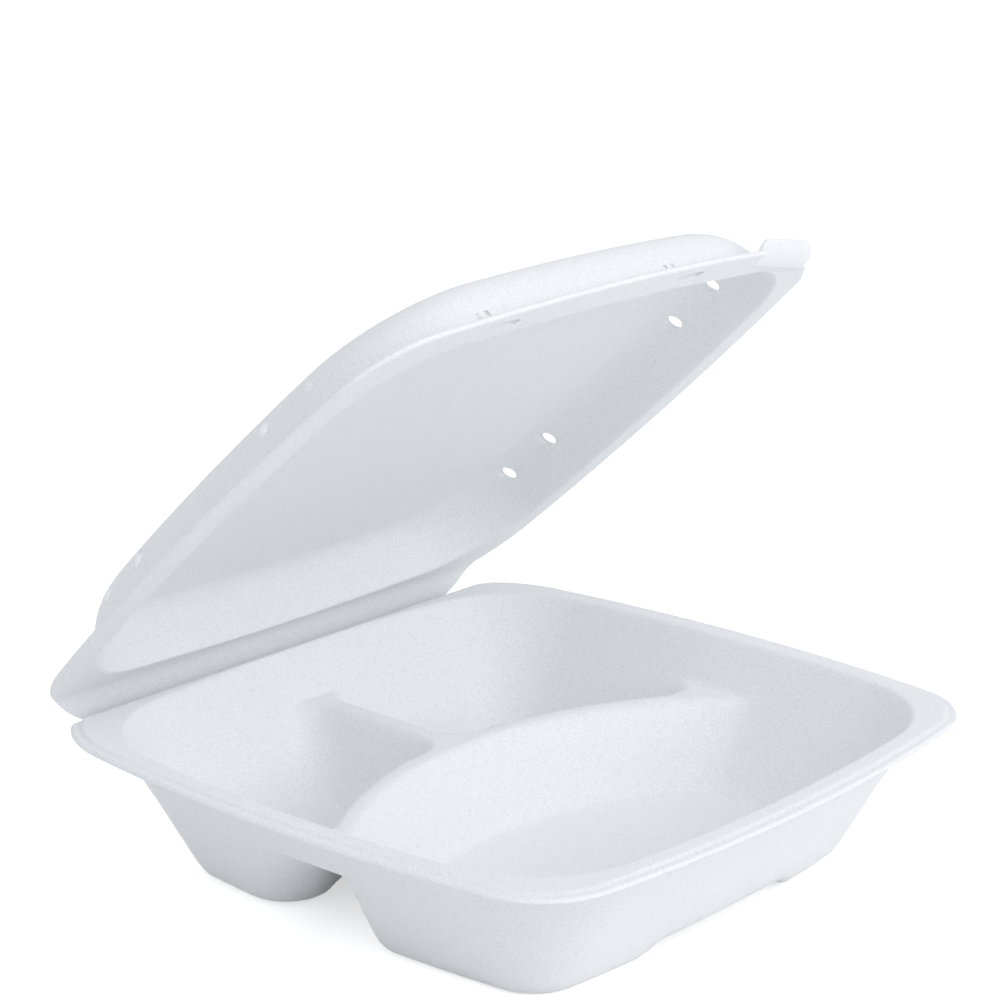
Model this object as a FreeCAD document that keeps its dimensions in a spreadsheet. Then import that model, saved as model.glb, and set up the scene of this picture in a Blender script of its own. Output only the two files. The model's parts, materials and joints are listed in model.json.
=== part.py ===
import FreeCAD, Part
import math
import os
import re

import Sketcher
from FreeCAD import Placement, Rotation, Vector

# A hinged-lid food container, thermoformed from one sheet of foam.
# The origin is on the table under the middle of the base, +Z is up, the hinge
# runs along X at the back (+Y), and the front edge faces -Y.
# Lengths are in millimetres and angles in degrees.
SIZES = [
    ("foam", 2.5, "thickness of the foam sheet"),
    ("rim_width", 229, "width over the flange, left to right"),
    ("rim_front", 112, "origin to the front edge of the flange"),
    ("rim_height", 48, "table to the top of the base flange"),
    ("bow_radius", 585, "radius of the gentle outward bow of every side"),
    ("side_crown", 4, "where along Y the left and right sides bulge most"),
    ("rim_front_corner", 28, "corner radius of the flange at the front"),
    ("rim_back_corner", 40, "corner radius of the flange beside the hinge"),
    ("flange_width", 9.5, "flange from its edge to the mouth of the base"),
    ("edge_band", 3.2, "width of the pressed band along the flange edge"),
    ("edge_step", 0.8, "how far the pressed band lies below the flange"),
    ("hinge_back", 112, "origin to the hinge line"),
    ("back_crown", 7, "how far the flange would bulge behind the hinge line that cuts it"),
    ("fold_run", 9, "hinge line to the line where the back flange bends down"),
    ("fold_angle", 38, "slope of the back flange between fold and hinge"),
    ("hinge_gap", 0.3, "gap left between the two leaves of the hinge"),
    ("seat_gap", 0.3, "gap between the flanges when the lid is shut"),
    ("open_angle", 42, "how far the lid stands open"),
    ("mouth_inset", 11, "hinge line to the back edge of the mouth"),
    ("mouth_corner", 40, "corner radius of the mouth"),
    ("wall_lean", 24.5, "how far the base's wall leans in between mouth and floor"),
    ("crest_height", 32, "table to the crest of the dividers"),
    ("crest_width", 7, "width of a divider at its crest"),
    ("arch_apex", 27, "origin to the crest of the curved divider on the middle line"),
    ("arch_radius", 135, "radius of the curved divider along its crest"),
    ("divider_spread", 10, "how much further a divider reaches each side at the floor"),
    ("divider_bow", 900, "radius of the slight bow of the straight divider's faces"),
    ("divider_middle", 62, "where along Y the straight divider is narrowest"),
    ("cup_corner", 11, "corner radius where dividers meet each other or the wall"),
    ("foot_round", 3, "bevel round the underside of each foot"),
    ("floor_round", 2.5, "bevel between floor and walls"),
    ("crest_round", 1.5, "height of the bevel along the crests of the dividers"),
    ("arch_half", 30, "half the width of the raised part under the front wall, at its top"),
    ("arch_rise", 5.5, "height of the raised part under the front wall"),
    ("arch_spread", 8, "how much further the raised part reaches each side at the table"),
    ("arch_depth", 16, "how far the raised part reaches in from the front"),
    ("lid_rise", 21, "flange to the top of the shut lid"),
    ("lid_top_half", 93.8, "half the width that the lid's wall would reach at the top"),
    ("lid_top_front", 100.6, "origin to the front of the lid's wall at the top"),
    ("lid_top_inset", 15, "hinge line to the back of the lid's wall at the top"),
    ("lid_top_corner", 46, "corner radius of the lid's wall at the top"),
    ("lid_round", 9, "bevels between the lid's wall and its top panel"),
    ("lid_brow", 0.3, "share of those bevels that lies in the upper, flatter one"),
    ("vent_radius", 2.5, "radius of a steam vent"),
    ("vent_rise", 14.6, "flange to the vents of the shut lid"),
    ("vent_middle", -2, "where along Y the vents are centred"),
    ("vent_spread", 49, "middle of the vents to the middle of a pair"),
    ("vent_pitch", 23, "distance between the two vents of a pair"),
    ("slot_left", 57, "middle line to the left latch slot"),
    ("slot_right", 25, "middle line to the right latch slot"),
    ("slot_length", 14, "length of a latch slot"),
    ("slot_width", 3, "width of a latch slot"),
    ("slot_inset", 5.5, "front edge of the flange to the middle of a latch slot"),
    ("slit_pitch", 3.6, "distance between the two slits above a latch slot"),
    ("slit_width", 1.4, "width of a slit"),
    ("slit_rise", 5, "height of a slit above the flange"),
    ("slit_depth", 1.6, "depth of a slit in the lid's front wall"),
    ("tab_length", 11.5, "length of the lift tab beyond its crease"),
    ("tab_half", 19, "half the length of the lift tab's crease"),
    ("tab_slope", 48, "slope of the lift tab"),
    ("tab_corner", 8, "corner radius of the lift tab"),
    ("tab_turn", 65, "direction of the lift tab, from X towards the front"),
    ("tab_right", 86, "origin to the middle of the crease, to the right"),
    ("tab_front", 97, "origin to the middle of the crease, to the front"),
]
NAMES = {name for name, _, _ in SIZES}
RIGHT, LEFT = 1, -1

doc = FreeCAD.newDocument("Clamshell")
sheet = doc.addObject("Spreadsheet::Sheet", "Sizes")
for row, (name, number, note) in enumerate(SIZES, start=1):
    sheet.set(f"A{row}", note)
    sheet.set(f"B{row}", str(number))
    sheet.setAlias(f"B{row}", name)
doc.recompute()


def bound(expression):
    """The expression with every size's name pointed at its cell in the sheet."""
    return re.sub(r"[a-z_]+", lambda word: f"Sizes.{word[0]}" if word[0] in NAMES else word[0], expression)


def value(expression):
    """The number that an expression has now."""
    return float(sheet.evalExpression(bound(expression)))


def sloped(top, low, height, top_height="rim_height", low_height="foam"):
    """A size that changes evenly from low at one height to top at another."""
    return f"({top} - ({top} - ({low})) * ({top_height} - ({height})) / ({top_height} - {low_height}))"


# Derived places, each worked out from the sizes above.
HINGE_HEIGHT = "(rim_height - fold_run * tan(fold_angle))"
MOUTH_HALF = "(rim_width / 2 - flange_width)"
MOUTH_FRONT = "(rim_front - flange_width)"
MOUTH_BACK = "(hinge_back - mouth_inset)"
WALL_ACROSS = "(foam * sqrt(1 + (wall_lean / (rim_height - foam)) ^ 2))"
FLOOR_FRONT = f"({MOUTH_FRONT} - wall_lean)"
BAND_LOW = "(crest_height - foam)"
LID_SEAT = "(rim_height + seat_gap)"
FLANGE_TOP = f"({LID_SEAT} + foam)"
LID_TOP = "(rim_height + lid_rise)"
DOME_ACROSS = f"(foam * sqrt(1 + (({MOUTH_HALF} - lid_top_half) / ({LID_TOP} - {FLANGE_TOP})) ^ 2))"


class Side:
    """One side of an outline: an arc that bulges outwards or, where hollow, inwards."""

    def __init__(self, centre_x, centre_y, radius, hollow=False):
        self.centre_x = centre_x
        self.centre_y = centre_y
        self.radius = radius
        self.hollow = hollow

    def centre(self):
        return Vector(value(self.centre_x), value(self.centre_y), 0)

    def reach(self, corner):
        """Distance from the side's centre to that of a corner arc that touches it inside."""
        radius = value(self.radius)
        return radius + corner if self.hollow else radius - corner

    def touch(self, corner_centre):
        """The point where the side meets a corner arc."""
        outwards = corner_centre - self.centre()
        return self.centre() + outwards.normalize() * value(self.radius)


class Outline:
    """A closed outline of four sides, from the right one round, and the corners after each."""

    def __init__(self, right, back, left, front, corners, inside):
        self.sides = [right, back, left, front]
        self.corners = corners
        self.inside = inside

    def corner_centre(self, index):
        """Centre of the arc between two sides: of the two that touch both, the near one."""
        first, second = self.sides[index], self.sides[(index + 1) % 4]
        radius = value(self.corners[index])
        span = second.centre() - first.centre()
        near, far = first.reach(radius), second.reach(radius)
        along = (near**2 - far**2 + span.Length**2) / (2 * span.Length)
        across = math.sqrt(near**2 - along**2)
        axis = span.normalize()
        normal = Vector(-axis.y, axis.x, 0)
        foot = first.centre() + axis * along
        inside = Vector(*self.inside, 0)
        return min((foot + normal * across, foot - normal * across), key=lambda point: (point - inside).Length)


def arc_between(centre, radius, start, end):
    """The anticlockwise arc about a centre from one point to another."""
    first = math.atan2(start.y - centre.y, start.x - centre.x)
    last = math.atan2(end.y - centre.y, end.x - centre.x)
    if last <= first:
        last += 2 * math.pi
    return Part.ArcOfCircle(Part.Circle(centre, Vector(0, 0, 1), radius), first, last)


class Moulding:
    """One leaf of the container, as a body whose sketches are given in the container's own places."""

    ORIGIN, X_AXIS, Y_AXIS = -1, -1, -2
    START, END, CENTRE = range(1, 4)

    def __init__(self, label, origin_y="0", origin_z="0"):
        self.body = doc.addObject("PartDesign::Body", label)
        self.body.Label = label
        self.origin_y = origin_y
        self.origin_z = origin_z

    def sketch(self, name, role):
        """An empty sketch on one of the body's own origin planes."""
        planes = self.body.Origin.OriginFeatures
        sketch = self.body.newObject("Sketcher::SketchObject", name)
        sketch.AttachmentSupport = (next(plane for plane in planes if plane.Role == role), [""])
        sketch.MapMode = "FlatFace"
        return sketch

    def level_sketch(self, name, level):
        """An empty sketch lying flat at a height above the table."""
        sketch = self.sketch(name, "XY_Plane")
        sketch.setExpression("AttachmentOffset.Base.z", bound(f"{level} - {self.origin_z}"))
        return sketch

    def place(self, sketch, direction, geometry, point, expression):
        """Hold one coordinate of a point of the sketch at an expression."""
        if expression == "0":
            axis = self.Y_AXIS if direction == "DistanceX" else self.X_AXIS
            sketch.addConstraint(Sketcher.Constraint("PointOnObject", geometry, point, axis))
            return
        datum = Sketcher.Constraint(direction, self.ORIGIN, 1, geometry, point, value(expression))
        index = sketch.addConstraint(datum)
        sketch.setExpression(f"Constraints[{index}]", bound(expression))

    def size(self, sketch, kind, geometry, expression):
        """Hold a radius of the sketch at an expression."""
        index = sketch.addConstraint(Sketcher.Constraint(kind, geometry, value(expression)))
        sketch.setExpression(f"Constraints[{index}]", bound(expression))

    def own_y(self, expression):
        """An expression along Y, seen from the body's own origin."""
        return expression if self.origin_y == "0" else f"{expression} - {self.origin_y}"

    def outline(self, sketch, outline):
        """Draw an outline with its four sides and four corners tangent all round."""
        shift = Vector(0, value(self.origin_y), 0)
        centres = [outline.corner_centre(index) for index in range(4)]
        parts = []
        for index, side in enumerate(outline.sides):
            start = side.touch(centres[index - 1])
            end = side.touch(centres[index])
            ends = (end, start) if side.hollow else (start, end)
            arc = arc_between(side.centre() - shift, value(side.radius), ends[0] - shift, ends[1] - shift)
            geometry = sketch.addGeometry(arc, False)
            self.place(sketch, "DistanceX", geometry, self.CENTRE, side.centre_x)
            self.place(sketch, "DistanceY", geometry, self.CENTRE, self.own_y(side.centre_y))
            self.size(sketch, "Radius", geometry, side.radius)
            first, last = (self.END, self.START) if side.hollow else (self.START, self.END)
            parts.append((geometry, first, last))
            after = outline.sides[(index + 1) % 4]
            turn = arc_between(
                centres[index] - shift,
                value(outline.corners[index]),
                end - shift,
                after.touch(centres[index]) - shift,
            )
            geometry = sketch.addGeometry(turn, False)
            self.size(sketch, "Radius", geometry, outline.corners[index])
            parts.append((geometry, self.START, self.END))
        for index, (geometry, _, last) in enumerate(parts):
            after, first, _ = parts[(index + 1) % len(parts)]
            sketch.addConstraint(Sketcher.Constraint("Tangent", geometry, last, after, first))

    def polygon(self, sketch, points):
        """Draw a closed polygon whose corners are held at expressions."""
        places = [Vector(value(across), value(along), 0) for across, along in points]
        first = sketch.GeometryCount
        for index, place in enumerate(places):
            sketch.addGeometry(Part.LineSegment(place, places[(index + 1) % len(places)]), False)
        for index, (across, along) in enumerate(points):
            after = first + (index + 1) % len(points)
            sketch.addConstraint(
                Sketcher.Constraint("Coincident", first + index, self.END, after, self.START)
            )
            self.place(sketch, "DistanceX", first + index, self.START, across)
            self.place(sketch, "DistanceY", first + index, self.START, along)

    def rectangle(self, sketch, left, right, front, back):
        """Draw a level rectangle whose sides are held at expressions."""
        low, high = self.own_y(front), self.own_y(back)
        self.polygon(sketch, [(left, low), (right, low), (right, high), (left, high)])

    def circle(self, sketch, across, along, radius):
        """Draw a circle whose centre and radius are held at expressions."""
        centre = Vector(value(across), value(along), 0)
        geometry = sketch.addGeometry(Part.Circle(centre, Vector(0, 0, 1), value(radius)), False)
        self.place(sketch, "DistanceX", geometry, self.CENTRE, across)
        self.place(sketch, "DistanceY", geometry, self.CENTRE, along)
        self.size(sketch, "Radius", geometry, radius)

    def extrude(self, kind, name, sketch, length, symmetric=False, downwards=False):
        """Pad or pocket a sketch, and check that the body's volume changed as it should."""
        before = self.volume()
        feature = self.body.newObject(kind, name)
        feature.Profile = sketch
        feature.SideType = "Symmetric" if symmetric else "One side"
        feature.setExpression("Length", bound(length))
        feature.Reversed = downwards if kind == "PartDesign::Pad" else not downwards
        self.settle(feature, before, kind == "PartDesign::Pad")
        return feature

    def loft(self, kind, name, sections):
        """Loft through flat outlines, each given with its height."""
        before = self.volume()
        sketches = []
        for index, (level, outline) in enumerate(sections, start=1):
            sketch = self.level_sketch(f"{name}_section_{index}", level)
            self.outline(sketch, outline)
            sketches.append(sketch)
        doc.recompute()
        feature = self.body.newObject(kind, name)
        feature.Profile = sketches[0]
        feature.Sections = sketches[1:]
        feature.Ruled = True
        self.settle(feature, before, kind == "PartDesign::AdditiveLoft")
        return feature

    def round_edges(self, name, radius, wanted):
        """Fillet every edge of the body that the test picks, seen in the container's own places."""
        base = self.body.Tip
        shift = Vector(0, value(self.origin_y), value(self.origin_z))
        edges = [
            f"Edge{index}"
            for index, edge in enumerate(base.Shape.Edges, start=1)
            if wanted([point + shift for point in edge.discretize(5)])
        ]
        feature = self.body.newObject("PartDesign::Fillet", name)
        feature.Base = (base, edges)
        feature.setExpression("Radius", bound(radius))
        self.settle(feature)
        return feature

    def volume(self):
        """Volume of the body as far as it has come."""
        return self.body.Tip.Shape.Volume if self.body.Tip else 0.0

    def settle(self, feature, before=None, grows=None):
        """Make a feature the body's tip, and stop if it failed or left the volume as it was."""
        self.body.Tip = feature
        doc.recompute()
        if "Invalid" in feature.State or "Error" in feature.State or not feature.Shape.isValid():
            raise RuntimeError(f"{feature.Name} failed: {feature.State}")
        if before is None:
            return
        if (feature.Shape.Volume > before) != grows or feature.Shape.Volume == before:
            raise RuntimeError(f"{feature.Name} left the volume at {feature.Shape.Volume:.0f}")


def walled(half, front, back, corner, grow="0", back_corner=None):
    """An outline whose four sides all bow gently outwards, grown outwards by grow."""
    radius = f"bow_radius + {grow}"
    turn = f"{corner} + {grow}"
    back_turn = f"{back_corner} + {grow}" if back_corner else turn
    return Outline(
        Side(f"{half} - bow_radius", "side_crown", radius),
        Side("0", f"{back} - bow_radius", radius),
        Side(f"bow_radius - {half}", "side_crown", radius),
        Side("0", f"bow_radius - {front}", radius),
        [back_turn, back_turn, turn, turn],
        (0, 0),
    )


def rim_outline(inset="0"):
    """The edge of a flange, or a line inset from it."""
    return walled(
        "rim_width / 2", "rim_front", "hinge_back + back_crown", "rim_front_corner", f"(-{inset})", "rim_back_corner"
    )


def lean(height):
    """How far the base's wall has leaned in at a height."""
    return f"wall_lean * (rim_height - {height}) / (rim_height - foam)"


def tub(height, grow="0"):
    """The base's inner wall at a height, grown outwards by grow."""
    return walled(MOUTH_HALF, MOUTH_FRONT, MOUTH_BACK, "mouth_corner", f"({grow} - {lean(height)})")


def divider_half(height):
    """Half the width of a divider at a height."""
    return sloped("crest_width / 2", "crest_width / 2 + divider_spread", height, "crest_height")


def large_cup(height, grow="0", shave="0"):
    """The front compartment at a height: the curved divider is its back, shaved thinner by shave."""
    walls = tub(height, grow)
    arch_edge = f"arch_radius - {divider_half(height)} + {grow} + {shave}"
    arch = Side("0", "arch_apex - arch_radius", arch_edge)
    right, _, left, front = walls.sides
    turn = f"cup_corner + {grow}"
    return Outline(right, arch, left, front, [turn, turn] + walls.corners[2:], (0, 0))


def small_cup(hand, height, grow="0", shave="0"):
    """A back compartment at a height, on the right or the left of the straight divider."""
    walls = tub(height, grow)
    arch_edge = f"arch_radius + {divider_half(height)} - {grow} - {shave}"
    arch = Side("0", "arch_apex - arch_radius", arch_edge, hollow=True)
    face = "divider_bow" if hand == RIGHT else "-divider_bow"
    divider_edge = f"divider_bow - {divider_half(height)} + {grow} + {shave}"
    divider = Side(face, "divider_middle", divider_edge)
    right, back, left, _ = walls.sides
    turn = f"cup_corner + {grow}"
    middle = (hand * value(f"{MOUTH_BACK} / 2"), value(f"{MOUTH_BACK} / 2"))
    if hand == RIGHT:
        return Outline(right, back, divider, arch, [walls.corners[0], turn, turn, turn], middle)
    return Outline(divider, back, left, arch, [turn, walls.corners[1], turn, turn], middle)


CUPS = [
    ("large_cup", large_cup),
    ("right_cup", lambda *sizes: small_cup(RIGHT, *sizes)),
    ("left_cup", lambda *sizes: small_cup(LEFT, *sizes)),
]


def fold_point(along, above):
    """A point on the back flange, along its slope from the hinge and above its upper face."""
    across = f"hinge_back - ({along}) * cos(fold_angle) + ({above}) * sin(fold_angle)"
    height = f"{HINGE_HEIGHT} + ({along}) * sin(fold_angle) + ({above}) * cos(fold_angle)"
    return across, height


def fold_vertex(above):
    """The point where the flange bends down towards the hinge, above its upper face."""
    return f"hinge_back - fold_run + ({above}) * tan(fold_angle / 2)", f"rim_height + {above}"


def bend_flange(moulding, upper, lower, top, bottom):
    """Trim a thick flange block to the sheet's thickness, level in front and sloping to the hinge."""
    far = "hinge_back + 20"
    near = "-rim_front - 20"
    sketch = moulding.sketch("flange_trim", "YZ_Plane")
    above = [(near, f"rim_height + {upper}"), fold_vertex(upper), fold_point("hinge_gap / 2", upper)]
    below = [fold_point("hinge_gap / 2", lower), fold_vertex(lower), (near, f"rim_height + {lower}")]
    around = [(near, bottom), (far, bottom), (far, top), (near, top)]
    own = [
        (moulding.own_y(across), f"{height} - {moulding.origin_z}")
        for across, height in above + below
    ]
    frame = [(moulding.own_y(across), f"{height} - {moulding.origin_z}") for across, height in around]
    moulding.polygon(sketch, [frame[3]] + own[:3] + own[3:] + frame[:3])
    moulding.extrude("PartDesign::Pocket", "flange_bend", sketch, "rim_width * 1.2", symmetric=True)


def press_edge(moulding, name, level, downwards):
    """Press the band along the edge of a flange to a thinner section."""
    sketch = moulding.level_sketch(f"{name}_band", level)
    moulding.outline(sketch, rim_outline("(-2)"))
    moulding.outline(sketch, rim_outline("edge_band"))
    moulding.extrude("PartDesign::Pocket", name, sketch, "edge_step", downwards=downwards)


def between(low, high, numbers):
    """Whether all the numbers lie between two limits."""
    return all(low <= number <= high for number in numbers)


def build_base():
    """The base: a flange round one mouth, over three compartments that each stand on a foot."""
    base = Moulding("base_tray")
    flange = base.level_sketch("flange_edge", "rim_height")
    base.outline(flange, rim_outline())
    depth = f"rim_height - {HINGE_HEIGHT} + 2 * foam"
    base.extrude("PartDesign::Pad", "flange_block", flange, depth, downwards=True)
    bend_flange(base, "0", "(-foam)", "rim_height + 5", f"{HINGE_HEIGHT} - 3 * foam")

    shoulder = "(rim_height - foam / 2)"
    base.loft(
        "PartDesign::AdditiveLoft",
        "upper_wall",
        [(BAND_LOW, tub(BAND_LOW, WALL_ACROSS)), (shoulder, tub(shoulder, WALL_ACROSS))],
    )
    for name, cup in CUPS:
        sections = [
            ("0", cup("0", f"({WALL_ACROSS} - foot_round)")),
            ("foot_round", cup("foot_round", WALL_ACROSS)),
            (BAND_LOW, cup(BAND_LOW, WALL_ACROSS)),
        ]
        base.loft("PartDesign::AdditiveLoft", f"{name}_outside", sections)
    base.loft(
        "PartDesign::SubtractiveLoft",
        "mouth",
        [("crest_height", tub("crest_height")), ("rim_height", tub("rim_height"))],
    )
    for name, cup in CUPS:
        sections = [
            ("foam", cup("foam", "(-floor_round)")),
            ("(foam + floor_round)", cup("(foam + floor_round)")),
            ("(crest_height - crest_round)", cup("(crest_height - crest_round)")),
            ("crest_height", cup("crest_height", "0", "crest_round / 2")),
        ]
        base.loft("PartDesign::SubtractiveLoft", f"{name}_inside", sections)
    raise_front_arch(base)
    press_edge(base, "edge_press", "rim_height", downwards=True)
    return base


def at_height(level, tolerance=0.05):
    """A test for edges that lie flat at a height above the table."""
    height = value(level)
    return lambda points: between(height - tolerance, height + tolerance, [point.z for point in points])


def raise_front_arch(base):
    """Lift the sheet under the middle of the front wall, so that the front foot stands on two ends."""
    back_end = f"({FLOOR_FRONT} - arch_depth)"
    bump_front = f"({MOUTH_FRONT} - {lean('(arch_rise + foam)')} + foam / 6)"
    slope = "arch_spread / arch_rise"
    bump = base.sketch("arch_inside", "XZ_Plane")
    bump.setExpression("AttachmentOffset.Base.z", bound(bump_front))
    wide = f"(arch_half + foam + {slope} * (arch_rise + foam / 2))"
    narrow = "(arch_half + foam)"
    top = "arch_rise + foam"
    base.polygon(
        bump, [(f"-{wide}", "foam / 2"), (wide, "foam / 2"), (narrow, top), (f"-{narrow}", top)]
    )
    length = f"{bump_front} - {back_end}"
    base.extrude("PartDesign::Pad", "arch_bump", bump, length, downwards=True)
    hollow = base.sketch("arch_outside", "XZ_Plane")
    hollow.setExpression("AttachmentOffset.Base.z", bound("rim_front"))
    wide = f"(arch_half + {slope} * (arch_rise + foam))"
    base.polygon(
        hollow,
        [(f"-{wide}", "-foam"), (wide, "-foam"), ("arch_half", "arch_rise"), ("-arch_half", "arch_rise")],
    )
    length = f"rim_front - {back_end} - foam"
    base.extrude("PartDesign::Pocket", "arch_hollow", hollow, length, downwards=True)


def dome(height, grow="0"):
    """The lid's outer wall at a height, grown outwards by grow."""

    def at(top, foot):
        return sloped(top, foot, height, LID_TOP, FLANGE_TOP)

    half = at("lid_top_half", MOUTH_HALF)
    front = at("lid_top_front", MOUTH_FRONT)
    back = at("(hinge_back - lid_top_inset)", MOUTH_BACK)
    return walled(half, front, back, at("lid_top_corner", "mouth_corner"), grow)


def build_lid():
    """The lid, shut: its flange seats on the base's, and a low dome rises over the mouth."""
    lid = Moulding("lid", "hinge_back", HINGE_HEIGHT)
    flange = lid.level_sketch("flange_edge", FLANGE_TOP)
    lid.outline(flange, rim_outline())
    depth = f"{FLANGE_TOP} - {HINGE_HEIGHT} + foam"
    lid.extrude("PartDesign::Pad", "flange_block", flange, depth, downwards=True)
    bend_flange(lid, "(foam + seat_gap)", "seat_gap", f"{FLANGE_TOP} + 5", f"{HINGE_HEIGHT} - 3 * foam")

    shoulder = f"({LID_TOP} - lid_round)"
    brow = f"({LID_TOP} - lid_round * lid_brow)"
    lid.loft(
        "PartDesign::AdditiveLoft",
        "dome_outside",
        [
            (f"({FLANGE_TOP} - foam / 2)", dome(f"({FLANGE_TOP} - foam / 2)")),
            (shoulder, dome(shoulder)),
            (brow, dome(brow, "(-lid_round * lid_brow)")),
            (LID_TOP, dome(LID_TOP, "(-lid_round)")),
        ],
    )
    below = f"({LID_SEAT} - 1)"
    ceiling = f"({LID_TOP} - foam)"
    inner_brow = f"({ceiling} - (lid_round - foam) * lid_brow)"
    inset = f"(-{DOME_ACROSS})"
    lid.loft(
        "PartDesign::SubtractiveLoft",
        "dome_inside",
        [
            (below, dome(below, inset)),
            (shoulder, dome(shoulder, inset)),
            (inner_brow, dome(inner_brow, f"({inset} - (lid_round - foam) * lid_brow)")),
            (ceiling, dome(ceiling, f"({inset} - (lid_round - foam))")),
        ],
    )
    press_edge(lid, "edge_press", FLANGE_TOP, downwards=True)
    cut_vents(lid)
    cut_latches(lid)
    raise_lift_tab(lid)
    body = lid.body
    body.Placement = Placement(Vector(0, 0, 0), Rotation(Vector(-1, 0, 0), value("open_angle")))
    body.setExpression("Placement.Base.y", bound("hinge_back"))
    body.setExpression("Placement.Base.z", bound(HINGE_HEIGHT))
    body.setExpression("Placement.Rotation.Angle", bound("open_angle"))
    return lid


def cut_vents(lid):
    """Four steam vents through each side wall of the lid, in two pairs."""
    sketch = lid.sketch("vent_circles", "YZ_Plane")
    for pair in ("+", "-"):
        for single in ("+", "-"):
            along = lid.own_y(f"vent_middle {pair} vent_spread {single} vent_pitch / 2")
            lid.circle(sketch, along, f"rim_height + vent_rise - {lid.origin_z}", "vent_radius")
    lid.extrude("PartDesign::Pocket", "vents", sketch, "rim_width", symmetric=True)


def cut_latches(lid):
    """Two latch slots in the front flange, with a pair of slits in the wall above each."""
    slots = lid.level_sketch("slot_outline", FLANGE_TOP)
    low = f"{FLANGE_TOP} - {lid.origin_z}"
    high = f"{low} + slit_rise"
    for name, middle in (("left", "(-slot_left)"), ("right", "slot_right")):
        bowed = f"({middle} ^ 2 / (2 * bow_radius))"
        slot_front = f"(slot_inset - rim_front + {bowed})"
        lid.rectangle(
            slots,
            f"{middle} - slot_length / 2",
            f"{middle} + slot_length / 2",
            f"{slot_front} - slot_width / 2",
            f"{slot_front} + slot_width / 2",
        )
        slits = lid.sketch(f"{name}_slit_outline", "XZ_Plane")
        wall = f"({MOUTH_FRONT} - {bowed} - slit_depth)"
        slits.setExpression("AttachmentOffset.Base.z", bound(f"{wall} + hinge_back"))
        for side in ("+", "-"):
            start = f"{middle} {side} slit_pitch / 2 - slit_width / 2"
            end = f"{middle} {side} slit_pitch / 2 + slit_width / 2"
            lid.polygon(slits, [(start, low), (end, low), (end, high), (start, high)])
        lid.extrude("PartDesign::Pocket", f"{name}_slits", slits, "foam * 2")
    lid.extrude("PartDesign::Pocket", "latch_slots", slots, "foam * 2", downwards=True)


def raise_lift_tab(lid):
    """Turn the flange's front right corner up along a crease, as a tab to lift the lid by."""
    places = {
        "x": "tab_right",
        "y": lid.own_y("-tab_front"),
        "z": f"{FLANGE_TOP} - {lid.origin_z}",
    }
    corner = lid.sketch("tab_cut_outline", "XY_Plane")
    corner.AttachmentOffset = Placement(Vector(), Rotation(Vector(0, 0, -1), value("tab_turn")))
    for axis, expression in places.items():
        corner.setExpression(f"AttachmentOffset.Base.{axis}", bound(expression))
    corner.setExpression("AttachmentOffset.Rotation.Angle", bound("tab_turn"))
    far = "tab_length * 3"
    wide = "(tab_half + tab_length)"
    lid.polygon(corner, [("0", f"-{wide}"), (far, f"-{wide}"), (far, wide), ("0", wide)])
    lid.extrude("PartDesign::Pocket", "tab_cut", corner, "foam * 1.5", downwards=True)

    profile = lid.sketch("tab_profile", "XZ_Plane")
    profile.AttachmentOffset = Placement(Vector(), Rotation(Vector(0, -1, 0), value("tab_turn")))
    profile.setExpression("AttachmentOffset.Base.x", bound("tab_right"))
    profile.setExpression("AttachmentOffset.Base.y", bound(f"{LID_SEAT} - {lid.origin_z}"))
    profile.setExpression("AttachmentOffset.Base.z", bound("tab_front + hinge_back"))
    profile.setExpression("AttachmentOffset.Rotation.Angle", bound("tab_turn"))
    crease = "foam * tan(tab_slope / 2)"
    end = f"{crease} + tab_length * cos(tab_slope)"
    rise = "tab_length * sin(tab_slope)"
    lid.polygon(
        profile,
        [
            ("-foam / 2", "0"),
            (crease, "0"),
            (end, rise),
            (f"{end} - foam * sin(tab_slope)", f"{rise} + foam * cos(tab_slope)"),
            ("0", "foam"),
            ("-foam / 2", "foam"),
        ],
    )
    lid.extrude("PartDesign::Pad", "lift_tab", profile, "tab_half * 2", symmetric=True)
    lowest = value(f"{FLANGE_TOP} + {rise} / 2")
    lid.round_edges(
        "tab_rounding",
        "tab_corner",
        lambda points: (
            between(lowest, lowest * 2, [point.z for point in points])
            and (points[0] - points[-1]).Length < value("foam * 1.5")
            and points[0].x > value("tab_right * 0.8")
            and points[0].y < value("-tab_front * 0.9")
        ),
    )


LEAVES = [build_base(), build_lid()]
doc.recompute()
for thing in doc.Objects:
    if "Invalid" in thing.State or "Error" in thing.State:
        raise RuntimeError(f"{thing.Name} failed: {thing.State}")
os.makedirs("parts", exist_ok=True)
for leaf in LEAVES:
    shape = leaf.body.Shape
    if shape.isNull() or not shape.isValid() or len(shape.Solids) != 1:
        raise RuntimeError(f"{leaf.body.Label} isn't one sound solid")
    shape.exportStep(f"parts/{leaf.body.Label}.step")
    print(leaf.body.Label, round(shape.Volume), shape.BoundBox)
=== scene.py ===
"""A white foam clamshell food container with its lid open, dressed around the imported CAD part.

Both leaves are shown by smooth shells pressed from one foam sheet. Each shell is a pair of height fields
over the plan of its flange, worked out from the same sizes as the solids. Lengths are in millimetres, as
the sheet's sizes are, and turn into metres where a mesh is made.
"""

import json
import logging
import math
from dataclasses import dataclass, field
from enum import Enum
from typing import Callable

import bmesh
import bpy
import numpy as np
from mathutils import Matrix, Vector


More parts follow.
